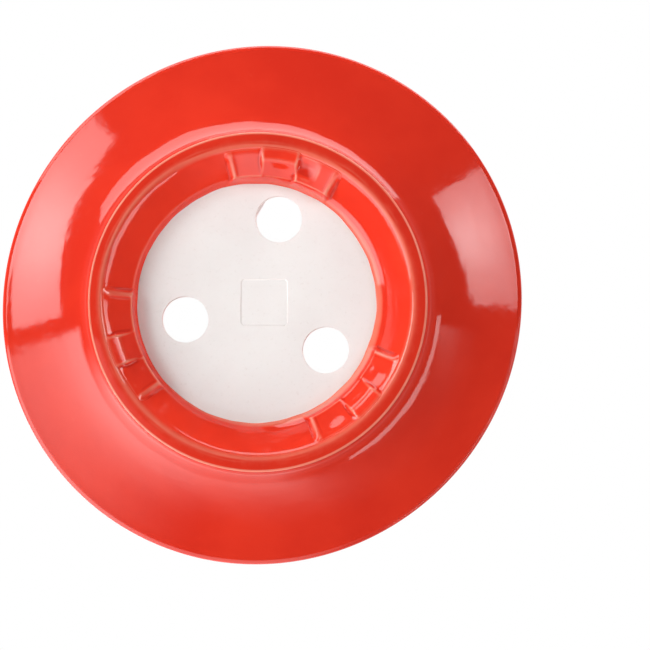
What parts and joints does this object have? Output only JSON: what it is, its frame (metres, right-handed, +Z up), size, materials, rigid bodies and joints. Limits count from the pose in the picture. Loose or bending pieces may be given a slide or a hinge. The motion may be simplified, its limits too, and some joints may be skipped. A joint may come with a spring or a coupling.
{
  "type": "pour-over coffee dripper",
  "caption": "Flat-bottomed glazed ceramic pour-over dripper: ribbed cone on a wide saucer flange, with drain holes, a strap handle and a lugged foot ring that sits on a mug.",
  "frame": {"origin": "on the table under the middle of the foot ring, at the bottom centre of the object's box", "axes": "+Z up along the cone's axis, +X towards the handle, +Y completes a right-handed frame"},
  "size_m": [0.1152, 0.1148, 0.0756],
  "materials": {
    "outer_glaze": "glossy poured red glaze, breaking to a paler salmon on the edges",
    "inner_glaze": "glossy poured red glaze inside the cone",
    "bisque": "unglazed off-white fired clay, smooth and matte"
  },
  "bodies": {
    "root": {"saucer": "outer_glaze", "foot_ring": "outer_glaze", "locating_lug_1": "outer_glaze", "locating_lug_2": "outer_glaze", "locating_lug_3": "outer_glaze", "floor_disc": "bisque", "cone_wall": "outer_glaze", "wall_rib_01": "inner_glaze", "wall_rib_02": "inner_glaze", "wall_rib_03": "inner_glaze", "wall_rib_04": "inner_glaze", "wall_rib_05": "inner_glaze", "wall_rib_06": "inner_glaze", "wall_rib_07": "inner_glaze", "wall_rib_08": "inner_glaze", "wall_rib_09": "inner_glaze", "wall_rib_10": "inner_glaze", "wall_rib_11": "inner_glaze", "wall_rib_12": "inner_glaze", "floor_bar_1": "inner_glaze", "floor_bar_2": "inner_glaze", "floor_bar_3": "inner_glaze", "handle": "outer_glaze"}
  },
  "joints": []
}
